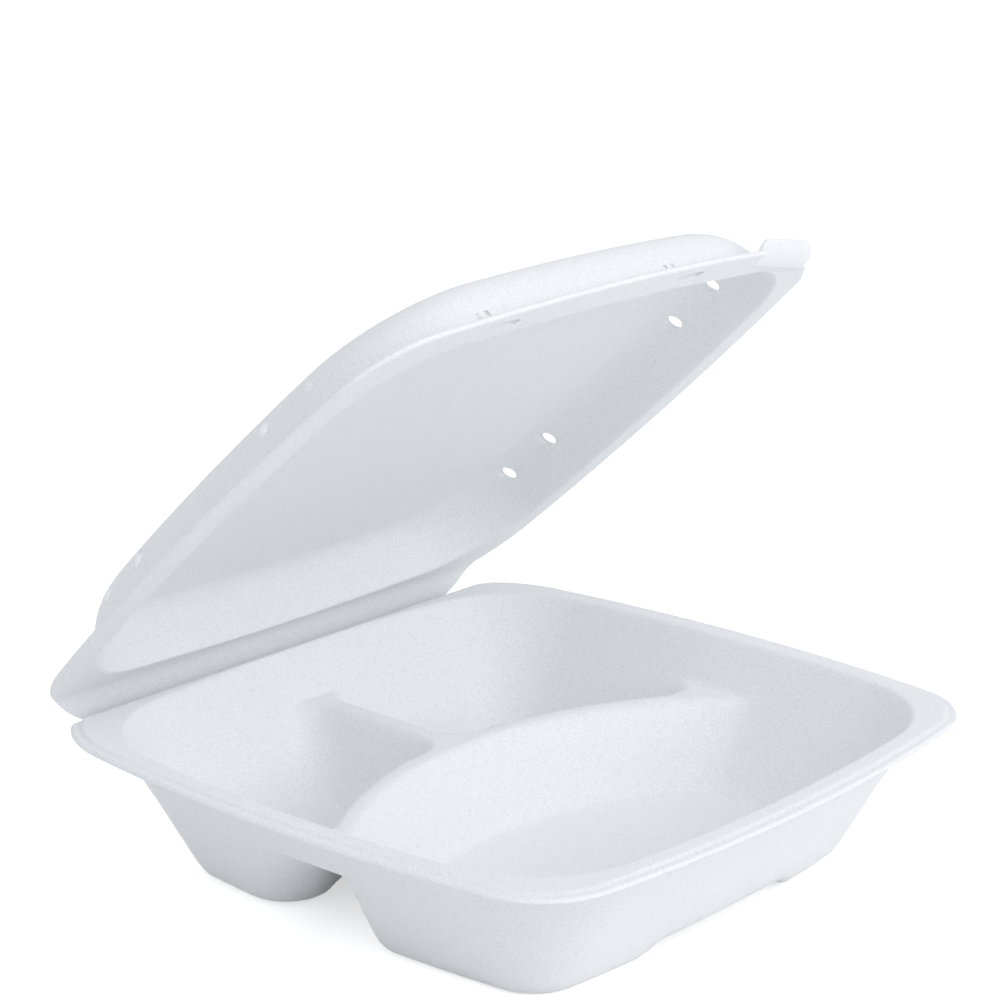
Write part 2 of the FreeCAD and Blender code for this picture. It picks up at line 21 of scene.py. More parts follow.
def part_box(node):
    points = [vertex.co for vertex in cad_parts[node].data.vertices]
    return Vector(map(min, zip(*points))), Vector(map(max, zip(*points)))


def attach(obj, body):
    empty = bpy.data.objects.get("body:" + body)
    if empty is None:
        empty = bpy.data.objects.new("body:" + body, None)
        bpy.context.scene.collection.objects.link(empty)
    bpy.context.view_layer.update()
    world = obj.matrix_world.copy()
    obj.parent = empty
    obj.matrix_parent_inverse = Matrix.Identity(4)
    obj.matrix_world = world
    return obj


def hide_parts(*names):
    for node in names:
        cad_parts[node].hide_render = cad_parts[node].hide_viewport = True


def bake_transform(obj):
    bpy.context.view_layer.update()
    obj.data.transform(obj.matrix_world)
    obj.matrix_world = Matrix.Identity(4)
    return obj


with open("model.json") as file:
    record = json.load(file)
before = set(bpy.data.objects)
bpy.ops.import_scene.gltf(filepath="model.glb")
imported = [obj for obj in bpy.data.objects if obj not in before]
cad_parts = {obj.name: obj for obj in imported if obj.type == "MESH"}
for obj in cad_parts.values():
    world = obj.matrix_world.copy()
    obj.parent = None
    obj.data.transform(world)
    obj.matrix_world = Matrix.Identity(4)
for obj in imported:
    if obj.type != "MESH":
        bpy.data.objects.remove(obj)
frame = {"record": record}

logging.basicConfig(level=logging.INFO, format="%(name)s: %(message)s")
LOG = logging.getLogger("clamshell")
# A millimetre in metres, then in millimetres the round of a sheet's edge, its least thickness, and the
# least distance that stands between two outlines
MM = 0.001
EDGE_ROUND = 0.8
LEAST_WALL = 1.2
LEAST_STEP = 1e-6
Field = np.ndarray
Colour = tuple[float, float, float, float]
WHITE: Colour = (1.0, 1.0, 1.0, 1.0)


def linear(hex_colour: str) -> Colour:
    """Turn an sRGB colour into the linear one that shaders take.

    Args:
        hex_colour: The colour as six hexadecimal digits.

    Returns:
        Red, green, blue and an alpha of 1.
    """
    channels = [int(hex_colour[start : start + 2], 16) / 255 for start in (0, 2, 4)]
    red, green, blue = (c / 12.92 if c <= 0.04045 else ((c + 0.055) / 1.055) ** 2.4 for c in channels)
    return red, green, blue, 1.0


def feed(tree: bpy.types.NodeTree, node: bpy.types.Node, inputs: dict) -> None:
    """Give a node its inputs.

    Args:
        tree: The tree it is in.
        node: The node.
        inputs: For each socket, by name or number, its value or the socket that feeds it.
    """
    for name, given in inputs.items():
        if isinstance(given, bpy.types.NodeSocket):
            tree.links.new(given, node.inputs[name])
        else:
            node.inputs[name].default_value = given


def add_node(
    tree: bpy.types.NodeTree, kind: str, inputs: dict | None = None, **settings: object
) -> bpy.types.Node:
    """Add a node with its settings and links.

    Args:
        tree: The tree it goes into.
        kind: The node's type.
        inputs: For each socket, by name or number, its value or the socket that feeds it.
        settings: The node's own settings.

    Returns:
        The new node.
    """
    node = tree.nodes.new(kind)
    for name, setting in settings.items():
        setattr(node, name, setting)
    feed(tree, node, inputs or {})
    return node


def smooth_min(first: Field, second: Field | float, blend: float) -> Field:
    """The lower of two fields, with the crease between them rounded over a height of blend."""
    near = np.clip(0.5 + 0.5 * (second - first) / blend, 0, 1)
    return second * (1 - near) + first * near - blend * near * (1 - near)


def smooth_max(first: Field, second: Field | float, blend: float) -> Field:
    """The higher of two fields, with the crease between them rounded over a height of blend."""
    return -smooth_min(-first, -second, blend)


def smooth_step(values: Field, low: float, high: float) -> Field:
    """A ramp from 0 at low to 1 at high, level at both ends."""
    t = np.clip((values - low) / (high - low), 0, 1)
    return t * t * (3 - 2 * t)


def edge_tuck(edge: Field, radius: float) -> Field:
    """How far a sheet's face draws in at each distance from the edge, so that the edge is round."""
    lean = np.clip(1 - edge / radius, 0, 1)
    return (1 - np.sqrt(1 - lean**2)) * radius


@dataclass
class Side:
    """One side of an outline: an arc that bulges outwards or, where hollow, inwards."""

    centre: tuple[float, float]
    radius: float
    hollow: bool = False

    def depth(self, x: Field, y: Field) -> Field:
        """How far points lie inside the side."""
        reach = np.hypot(x - self.centre[0], y - self.centre[1])
        return reach - self.radius if self.hollow else self.radius - reach


@dataclass
class Outline:
    """A closed outline of four sides, from the right one round, and the corner radius after each."""

    sides: list[Side]
    corners: list[float]
    inside: tuple[float, float] = (0.0, 0.0)

    def corner_centre(self, index: int) -> np.ndarray:
        """Find the centre of the arc that rounds the corner after a side.

        Args:
            index: Which side, from the right one round.

        Returns:
            The centre's place.
        """
        first, second = self.sides[index], self.sides[(index + 1) % 4]
        radius = self.corners[index]
        near = first.radius + radius if first.hollow else first.radius - radius
        far = second.radius + radius if second.hollow else second.radius - radius
        start = np.array(first.centre)
        span = np.array(second.centre) - start
        length = np.hypot(*span)
        axis = span / length
        along = (near**2 - far**2 + length**2) / (2 * length)
        across = math.sqrt(max(near**2 - along**2, 0))
        normal = np.array([-axis[1], axis[0]])
        foot = start + axis * along
        options = (foot + normal * across, foot - normal * across)
        return min(options, key=lambda point: np.hypot(*(point - np.array(self.inside))))

    def depth(self, x: Field, y: Field) -> Field:
        """Signed distance of points inside the outline, negative outside it.

        Args:
            x: Places along X.
            y: Places along Y.

        Returns:
            The distance to the nearest side, or to a corner arc where that is what a point faces.
        """
        result = np.min([side.depth(x, y) for side in self.sides], axis=0)
        for index in range(4):
            centre = self.corner_centre(index)
            directions = []
            for side in (self.sides[index], self.sides[(index + 1) % 4]):
                away = centre - np.array(side.centre)
                away = away / np.hypot(*away)
                directions.append(-away if side.hollow else away)
            off_x, off_y = x - centre[0], y - centre[1]
            (ax, ay), (bx, by) = directions
            facing = (ax * off_y - ay * off_x > 0) & (off_x * by - off_y * bx > 0)
            result = np.where(facing, self.corners[index] - np.hypot(off_x, off_y), result)
        return result


@dataclass(frozen=True)
class Sizes:
    """Sizes that both leaves share, in millimetres and degrees.

    Attributes:
        rim_half, rim_front, rim_height: Half width, front and height of the base's rim, from the frame.
        hinge_back, hinge_height: Where the hinge line lies, from the frame.
        foam: Thickness of the sheet.
        back_crown: How far the flange's outline bulges beyond the hinge line, where it is cut off.
        bow_radius: Radius of the gentle bow of every side.
        side_crown: Where along Y the left and right sides bulge most.
        front_corner, back_corner: Corner radii of the rim.
        fold_run: How far before the hinge line the flange bends down.
        seat_gap: Play between the shut lid and the base.
        open_angle: How far the lid is open in the rest pose.
        flange_width, mouth_inset: Rim to mouth, at the front and sides and at the back.
        mouth_corner: Corner radius of the mouth.
        wall_lean: How much narrower the base is at the floor.
        edge_band, edge_step, edge_ramp: Width, depth and slopes of the band pressed along the edge.
    """

    rim_half: float
    rim_front: float
    rim_height: float
    hinge_back: float
    hinge_height: float
    foam: float = 2.5
    back_crown: float = 7.0
    bow_radius: float = 585.0
    side_crown: float = 4.0
    front_corner: float = 28.0
    back_corner: float = 40.0
    fold_run: float = 9.0
    seat_gap: float = 0.3
    open_angle: float = 42.0
    flange_width: float = 9.5
    mouth_inset: float = 11.0
    mouth_corner: float = 40.0
    wall_lean: float = 24.5
    edge_band: float = 3.2
    edge_step: float = 0.7
    edge_ramp: tuple[float, float] = (0.3, 0.5)

    @classmethod
    def from_frame(cls) -> "Sizes":
        """Read the outer sizes off the base's solid and the hinge off the record.

        Returns:
            All the sizes.
        """
        low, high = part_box("base_tray")
        hinge = frame["record"]["behaviour"]["joints"][0]["pos_m"]
        return cls(high[0] / MM, -low[1] / MM, high[2] / MM, hinge[1] / MM, hinge[2] / MM)

    @property
    def mouth_half(self) -> float:
        """Half the width of the base's mouth."""
        return self.rim_half - self.flange_width

    @property
    def mouth_front(self) -> float:
        """Origin to the front of the base's mouth."""
        return self.rim_front - self.flange_width

    @property
    def mouth_back(self) -> float:
        """Origin to the back of the base's mouth."""
        return self.hinge_back - self.mouth_inset

    @property
    def lid_seat(self) -> float:
        """Height of the shut lid's underside above the table."""
        return self.rim_height + self.seat_gap

    @property
    def flange_top(self) -> float:
        """Height of the shut lid's flange, on top, above the table."""
        return self.lid_seat + self.foam

    @property
    def wall_across(self) -> float:
        """Thickness of the base's leaning wall, measured level."""
        return self.foam * math.hypot(1, self.wall_lean / (self.rim_height - self.foam))

    def walled(
        self, half: float, front: float, back: float, corners: tuple[float, float], grow: float
    ) -> Outline:
        """An outline whose four sides all bow gently outwards.

        Args:
            half: Half its width.
            front: Origin to its front.
            back: Origin to its back.
            corners: Radius of its back corners and of its front ones.
            grow: How far all of it is moved outwards.

        Returns:
            The outline.
        """
        bow = self.bow_radius
        sides = [
            Side((half - bow, self.side_crown), bow + grow),
            Side((0, back - bow), bow + grow),
            Side((bow - half, self.side_crown), bow + grow),
            Side((0, bow - front), bow + grow),
        ]
        back_turn, front_turn = corners[0] + grow, corners[1] + grow
        return Outline(sides, [back_turn, back_turn, front_turn, front_turn])

    def rim(self) -> Outline:
        """The flange's edge before the hinge cuts it."""
        back = self.hinge_back + self.back_crown
        return self.walled(self.rim_half, self.rim_front, back, (self.back_corner, self.front_corner), 0.0)

    def tub(self, height: float, grow: float = 0.0) -> Outline:
        """The base's inner wall at a height.

        Args:
            height: Height above the table.
            grow: How far the outline is moved outwards.

        Returns:
            The outline.
        """
        lean = self.wall_lean * (self.rim_height - height) / (self.rim_height - self.foam)
        corners = (self.mouth_corner, self.mouth_corner)
        return self.walled(self.mouth_half, self.mouth_front, self.mouth_back, corners, grow - lean)

    def flange_face(self, y: Field, above: float, blend: float = 2.0) -> Field:
        """Height of the flange's surface: level, then bent down to the hinge.

        Args:
            y: Places along Y.
            above: Height over the base flange's upper face.
            blend: How far the bend is rounded.

        Returns:
            The height at each place.
        """
        steepness = (self.rim_height - self.hinge_height) / self.fold_run
        slope = self.hinge_height + (self.hinge_back - y) * steepness + above * math.hypot(1, steepness)
        return smooth_min(slope, self.rim_height + above, blend)

    def pressed_band(self, edge: Field) -> Field:
        """How far the band along a flange's edge is pressed down, at each distance from the edge."""
        before, beyond = self.edge_ramp
        return (1 - smooth_step(edge, self.edge_band - before, self.edge_band + beyond)) * self.edge_step


SIZES = Sizes.from_frame()


def level_field(x: Field, y: Field, levels: list[float], outline_at: Callable[[float], Outline]) -> Field:
    """The height at which a stack of outlines passes through each point.

    Args:
        x: Places along X.
        y: Places along Y.
        levels: Heights in order, at which the outline is worked out.
        outline_at: The outline at a height, growing steadily with it.

    Returns:
        The height at each point, carried on evenly below and above the levels.
    """
    depths = -np.stack([outline_at(level).depth(x, y) for level in levels])
    heights = np.array(levels)
    passed = np.clip((depths > 0).sum(axis=0), 1, len(levels) - 1)
    below = np.take_along_axis(depths, passed[None] - 1, axis=0)[0]
    above = np.take_along_axis(depths, passed[None], axis=0)[0]
    step = np.minimum(above - below, -LEAST_STEP)
    return heights[passed - 1] + (heights[passed] - heights[passed - 1]) * (-below / step)


@dataclass
class PlanGrid:
    """A square grid of points stretched to a flange's outline, finer towards its edge.

    Attributes:
        inner_rings: Rings from the middle out to where the fine rings start.
        outer_rings: Fine rings from there to the edge.
        fine_from: Share of the way out at which the fine rings start.
        hinge_trim: How far short of the hinge line the outline ends.
        halvings: Steps in the search for the edge.
        samples: Places tried in the search for the hinge line's end.
        x: Where each point lies along X.
        y: Where each point lies along Y.
        edge: How far each point lies from the edge.
    """

    inner_rings: int = 58
    outer_rings: int = 50
    fine_from: float = 0.78
    hinge_trim: float = 0.2
    halvings: int = 26
    samples: int = 400
    x: Field = field(init=False)
    y: Field = field(init=False)
    edge: Field = field(init=False)

    def __post_init__(self) -> None:
        """Work out every point, and how far each lies from the edge."""
        rings = self.inner_rings + self.outer_rings
        steps = np.arange(-rings, rings + 1)
        across, along = np.meshgrid(steps, steps)
        ring = np.maximum(abs(across), abs(along))
        share = np.where(
            ring <= self.inner_rings,
            ring / self.inner_rings * self.fine_from,
            self.fine_from + (ring - self.inner_rings) / self.outer_rings * (1 - self.fine_from),
        )
        turn = self.swing(np.arctan2(along, across))
        reach = self.reach(turn)
        distance = reach * share
        self.x = np.cos(turn) * distance
        self.y = np.sin(turn) * distance
        self.edge = reach - distance

    def swing(self, turn: Field) -> Field:
        """Turn directions so that the grid's corners meet the ends of the hinge line.

        Args:
            turn: Directions from the origin, in radians.

        Returns:
            The turned directions.
        """
        cut = SIZES.hinge_back - self.hinge_trim
        places = np.linspace(SIZES.rim_half / 2, SIZES.rim_half, self.samples)
        outside = SIZES.rim().depth(places, np.full_like(places, cut)) < 0
        hinge_end = math.atan2(cut, float(places[np.argmax(outside)]))
        quarter = math.pi / 4
        from_points = [-math.pi, -3 * quarter, -quarter, 0, quarter, 3 * quarter, math.pi]
        to_points = [-math.pi, -3 * quarter, -quarter, 0, hinge_end, math.pi - hinge_end, math.pi]
        return np.interp(turn, from_points, to_points)

    def reach(self, turn: Field) -> Field:
        """Find the distance to the edge by halving.

        Args:
            turn: Directions from the origin, in radians.

        Returns:
            The distance in each direction.
        """
        low = np.zeros_like(turn)
        high = np.full_like(turn, SIZES.rim_half * 2)
        rim = SIZES.rim()
        for _ in range(self.halvings):
            middle = (low + high) / 2
            x, y = np.cos(turn) * middle, np.sin(turn) * middle
            depth = np.minimum(rim.depth(x, y), SIZES.hinge_back - self.hinge_trim - y)
            low = np.where(depth > 0, middle, low)
            high = np.where(depth > 0, high, middle)
        return low


def link(name: str, data: bpy.types.ID) -> bpy.types.Object:
    """Make an object of a mesh, lamp or camera, at the origin.

    Args:
        name: The object's name.
        data: What it shows.

    Returns:
        The new object.
    """
    thing = bpy.data.objects.new(name, data)
    bpy.context.collection.objects.link(thing)
    return thing


def to_object(name: str, points: np.ndarray, faces: list[tuple[int, ...]]) -> bpy.types.Object:
    """Make a smoothly shaded mesh object at the origin.

    Args:
        name: The object's name.
        points: One row of x, y, z for each point, in millimetres.
        faces: The points of each face, anticlockwise seen from outside.

    Returns:
        The new object.
    """
    mesh = bpy.data.meshes.new(name)
    mesh.from_pydata((points * MM).tolist(), [], faces)
    mesh.shade_smooth()
    mesh.update()
    return link(name, mesh)


def from_bmesh(name: str, work: bmesh.types.BMesh) -> bpy.types.Object:
    """Turn finished mesh work into an object at the origin.

    Args:
        name: The object's name.
        work: The mesh work, in metres, which is freed.

    Returns:
        The new object.
    """
    mesh = bpy.data.meshes.new(name)
    work.to_mesh(mesh)
    work.free()
    mesh.shade_smooth()
    return link(name, mesh)


def closed_sheet(name: str, upper: np.ndarray, lower: np.ndarray) -> bpy.types.Object:
    """Close two faces over one grid into a sheet.

    Args:
        name: The object's name.
        upper: The upper face's points, as rows by columns by x, y, z.
        lower: The lower face's points.

    Returns:
        The closed sheet.
    """
    rows, columns = upper.shape[:2]
    count = rows * columns
    index = np.arange(count).reshape(rows, columns)
    a, b = index[:-1, :-1].ravel(), index[:-1, 1:].ravel()
    c, d = index[1:, 1:].ravel(), index[1:, :-1].ravel()
    loop = np.concatenate([index[0, :-1], index[:-1, -1], index[-1, :0:-1], index[:0:-1, 0]])
    after = np.roll(loop, -1)
    top = np.stack([a, b, c, d], axis=1)
    bottom = np.stack([d, c, b, a], axis=1) + count
    wall = np.stack([loop + count, after + count, after, loop], axis=1)
    points = np.concatenate([upper.reshape(-1, 3), lower.reshape(-1, 3)])
    return to_object(name, points, np.concatenate([top, bottom, wall]).tolist())


def pressed_sheet(name: str, grid: PlanGrid, top: Field, bottom: Field) -> bpy.types.Object:
    """Close two height fields over one grid into a sheet with a rounded edge.

    Args:
        name: The object's name.
        grid: Where the points lie in plan.
        top: Height of the upper face.
        bottom: Height of the lower face.

    Returns:
        The sheet.
    """
    tuck = edge_tuck(grid.edge, EDGE_ROUND)
    upper = np.stack([grid.x, grid.y, top - tuck], axis=2)
    lower = np.stack([grid.x, grid.y, bottom + tuck], axis=2)
    return closed_sheet(name, upper, lower)


def cut_out(body: bpy.types.Object, tool: bpy.types.Object) -> None:
    """Cut a tool out of a body, and delete the tool.

    Args:
        body: What is cut.
        tool: What it is cut with.
    """
    modifier = body.modifiers.new(tool.name, "BOOLEAN")
    modifier.object = tool
    modifier.operation = "DIFFERENCE"
    modifier.solver = "EXACT"
    body.data = bpy.data.meshes.new_from_object(body.evaluated_get(bpy.context.evaluated_depsgraph_get()))
    body.modifiers.clear()
    bpy.data.objects.remove(tool)


def take_in(body: bpy.types.Object, part: bpy.types.Object) -> None:
    """Move a part's mesh into a body's, and delete the part.

    Args:
        body: What takes it in.
        part: What is taken in.
    """
    work = bmesh.new()
    work.from_mesh(body.data)
    work.from_mesh(part.data)
    work.to_mesh(body.data)
    work.free()
    bpy.data.objects.remove(part)


@dataclass(frozen=True)
class FoamFinish:
    """Expanded polystyrene sheet: white closed-cell foam with a soft, faintly pearly skin.

    Attributes:
        colour: Body colour of the foam.
        shade: Colour of the thin lines between its cells.
        cell: Size of one cell of the foam, in metres, drawn coarser than the real 0.3 mm so that it shows.
        waves: How many soft hollows the press leaves to a metre.
        line: Share of a cell that its thin lines take up.
        wave_bump: Strength and height in metres of the hollows.
        cell_bump: Strength and height in metres of the cells.
        roughness: Roughness of the skin.
        gloss: Specular level of the skin.
        glow: Share of the light that passes under the skin.
        glow_depth: How far it passes at most, in metres.
        glow_tint: How far red, green and blue pass, as shares of that.
        sheen: Weight of the pearly sheen.
    """

    colour: str = "F7F8F9"
    shade: str = "ECEEF0"
    cell: float = 0.0011
    waves: float = 55.0
    line: float = 0.18
    wave_bump: tuple[float, float] = (0.10, 0.0012)
    cell_bump: tuple[float, float] = (0.12, 0.0001)
    roughness: float = 0.56
    gloss: float = 0.35
    glow: float = 0.12
    glow_depth: float = 0.002
    glow_tint: tuple[float, float, float] = (0.6, 0.6, 0.6)
    sheen: float = 0.05

    def build(self) -> bpy.types.Material:
        """Make the material: a rough white body, faint cells, and unevenness from the press.

        Returns:
            The material.
        """
        material = bpy.data.materials.new("polystyrene_foam")
        material.use_nodes = True
        tree = material.node_tree
        place = add_node(tree, "ShaderNodeTexCoord").outputs["Object"]
        size = {"Vector": place, "Scale": 1 / self.cell}
        cells = add_node(tree, "ShaderNodeTexVoronoi", size, feature="DISTANCE_TO_EDGE").outputs["Distance"]
        walls = add_node(tree, "ShaderNodeMapRange", {"Value": cells, "From Max": self.line})
        wall_share = walls.outputs["Result"]
        tint = add_node(tree, "ShaderNodeMix", data_type="RGBA")
        feed(tree, tint, {"Factor": wall_share, "A": linear(self.shade), "B": linear(self.colour)})
        waves = add_node(tree, "ShaderNodeTexNoise", {"Vector": place, "Scale": self.waves, "Detail": 2})
        strength, height = self.wave_bump
        bump = {"Height": waves.outputs["Fac"], "Strength": strength, "Distance": height}
        uneven = add_node(tree, "ShaderNodeBump", bump)
        strength, height = self.cell_bump
        bump = {"Height": wall_share, "Strength": strength, "Distance": height}
        grain = add_node(tree, "ShaderNodeBump", bump | {"Normal": uneven.outputs["Normal"]})
        skin = {
            "Base Color": tint.outputs["Result"],
            "Normal": grain.outputs["Normal"],
            "Roughness": self.roughness,
            "Specular IOR Level": self.gloss,
            "Subsurface Weight": self.glow,
            "Subsurface Radius": self.glow_tint,
            "Subsurface Scale": self.glow_depth,
            "Sheen Weight": self.sheen,
        }
        feed(tree, tree.nodes["Principled BSDF"], skin)
        return material


@dataclass
class Base:
    """The base: a flange round one mouth, over three compartments that each stand on a foot.

    Attributes:
        crest_height: Height of the dividers' crests inside.
        crest_half: Half the width of a divider at its crest.
        spread: How much wider half a divider is at the floor.
        arch_apex: How far behind the origin the curved divider's middle line reaches.
        arch_radius: Radius of that line.
        divider_bow: Radius of the small compartments' sides along the straight divider.
        divider_middle: Where along Y those sides bulge most.
        cup_corner: Corner radius of the compartments at the dividers.
        foot_blend, floor_blend, crest_blend: Roundings of feet, floors and crests.
        cup_blend, wall_blend, mouth_blend, flange_blend: Roundings where faces of the sheet meet.
        lowest: A height below the table, from which outlines are worked out.
        cup_levels, tub_levels: The other heights at which they are.
        arch_half, arch_spread, arch_rise, arch_depth: Half width, side slope's run, height and reach
            inwards of the raised part under the front wall.
        arch_slope: Steepness of its inner side.
        arch_ridge, arch_blend: Roundings between its sides and on its top.
    """

    crest_height: float = 32.0
    crest_half: float = 3.5
    spread: float = 10.0
    arch_apex: float = 27.0
    arch_radius: float = 135.0
    divider_bow: float = 900.0
    divider_middle: float = 62.0
    cup_corner: float = 11.0
    foot_blend: float = 6.0
    floor_blend: float = 5.0
    crest_blend: float = 2.6
    arch_half: float = 30.0
    arch_spread: float = 8.0
    arch_rise: float = 5.5
    arch_depth: float = 16.0
    arch_slope: float = 1.6
    arch_ridge: float = 2.0
    arch_blend: float = 1.5
    cup_blend: float = 0.6
    wall_blend: float = 1.6
    mouth_blend: float = 2.0
    flange_blend: float = 1.2
    lowest: float = -6.0
    cup_levels: tuple[float, ...] = (12.0, 22.0, 32.0, 39.0)
    tub_levels: tuple[float, ...] = (20.0, 60.0)

    def divider_half(self, height: float) -> float:
        """Half the width of a divider at a height."""
        return self.crest_half + self.spread * (self.crest_height - height) / (self.crest_height - SIZES.foam)

    def cup(self, which: int, height: float, grow: float) -> Outline:
        """One compartment at a height.

        Args:
            which: 0 for the large one, 1 for the right and -1 for the left one.
            height: Height above the table.
            grow: How far its outline is moved outwards.

        Returns:
            The outline.
        """
        walls = SIZES.tub(height, grow)
        right, back, left, front = walls.sides
        centre = (0.0, self.arch_apex - self.arch_radius)
        half = self.divider_half(height)
        turn = self.cup_corner + grow
        if which == 0:
            arch = Side(centre, self.arch_radius - half + grow)
            return Outline([right, arch, left, front], [turn, turn] + walls.corners[2:])
        arch = Side(centre, self.arch_radius + half - grow, hollow=True)
        divider = Side((which * self.divider_bow, self.divider_middle), self.divider_bow - half + grow)
        middle = (which * SIZES.mouth_back / 2, SIZES.mouth_back / 2)
        if which > 0:
            return Outline([right, back, divider, arch], [walls.corners[0], turn, turn, turn], middle)
        return Outline([divider, back, left, arch], [turn, walls.corners[1], turn, turn], middle)

    def bowl(self, x: Field, y: Field, grow: float, floor: float, crest: float, blend: float) -> Field:
        """One face of the sheet inside the flange.

        Args:
            x: Places along X.
            y: Places along Y.
            grow: How far the face lies outside the inner wall.
            floor: Height of its lowest level.
            crest: Height of its level on the dividers.
            blend: Rounding where walls meet the floor.

        Returns:
            The height of the face.
        """
        levels = [self.lowest, floor, *self.cup_levels]
        cups = [
            level_field(x, y, levels, lambda height: self.cup(which, height, grow)) for which in (0, 1, -1)
        ]
        bottom = smooth_min(smooth_min(cups[0], cups[1], self.cup_blend), cups[2], self.cup_blend)
        bottom = smooth_max(bottom, floor, blend)
        wall = level_field(x, y, [self.lowest, *self.tub_levels], lambda height: SIZES.tub(height, grow))
        return smooth_max(smooth_min(bottom, crest, self.crest_blend), wall, self.wall_blend)

    def front_arch(self, x: Field, y: Field, top: float, grow: float) -> Field:
        """Height of the raised part under the front wall, with slopes at its sides and inner end.

        Args:
            x: Places along X.
            y: Places along Y.
            top: Height of its top.
            grow: How far it is moved outwards.

        Returns:
            The height at each place.
        """
        back_end = SIZES.wall_lean - SIZES.mouth_front + self.arch_depth
        side = top - (abs(x) - self.arch_half - grow) * self.arch_rise / self.arch_spread
        inner = top - (y - back_end - grow) * self.arch_slope
        return smooth_min(smooth_min(side, inner, self.arch_ridge), top, self.arch_blend)

    def build(self, foam: bpy.types.Material) -> bpy.types.Object:
        """Make the base's shell and set it on the base.

        Args:
            foam: The material that it is made of.

        Returns:
            The shell.
        """
        grid = PlanGrid()
        x, y = grid.x, grid.y
        flange_top = SIZES.flange_face(y, 0.0) - SIZES.pressed_band(grid.edge)
        flange_low = SIZES.flange_face(y, -SIZES.foam)
        inner = self.bowl(x, y, 0.0, SIZES.foam, self.crest_height, self.floor_blend)
        arch = self.front_arch(x, y, self.arch_rise + SIZES.foam, SIZES.foam)
        inner = smooth_max(inner, arch, self.arch_blend)
        top = smooth_min(inner, flange_top, self.mouth_blend)
        outer = self.bowl(x, y, SIZES.wall_across, 0.0, self.crest_height - SIZES.foam, self.foot_blend)
        outer = smooth_max(outer, self.front_arch(x, y, self.arch_rise, 0.0), self.arch_blend)
        bottom = np.minimum(smooth_min(outer, flange_low, self.flange_blend), top - LEAST_WALL)
        shell = pressed_sheet("base_shell", grid, top, bottom)
        shell.data.materials.append(foam)
        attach(shell, "base")
        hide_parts("base_tray")
        return shell


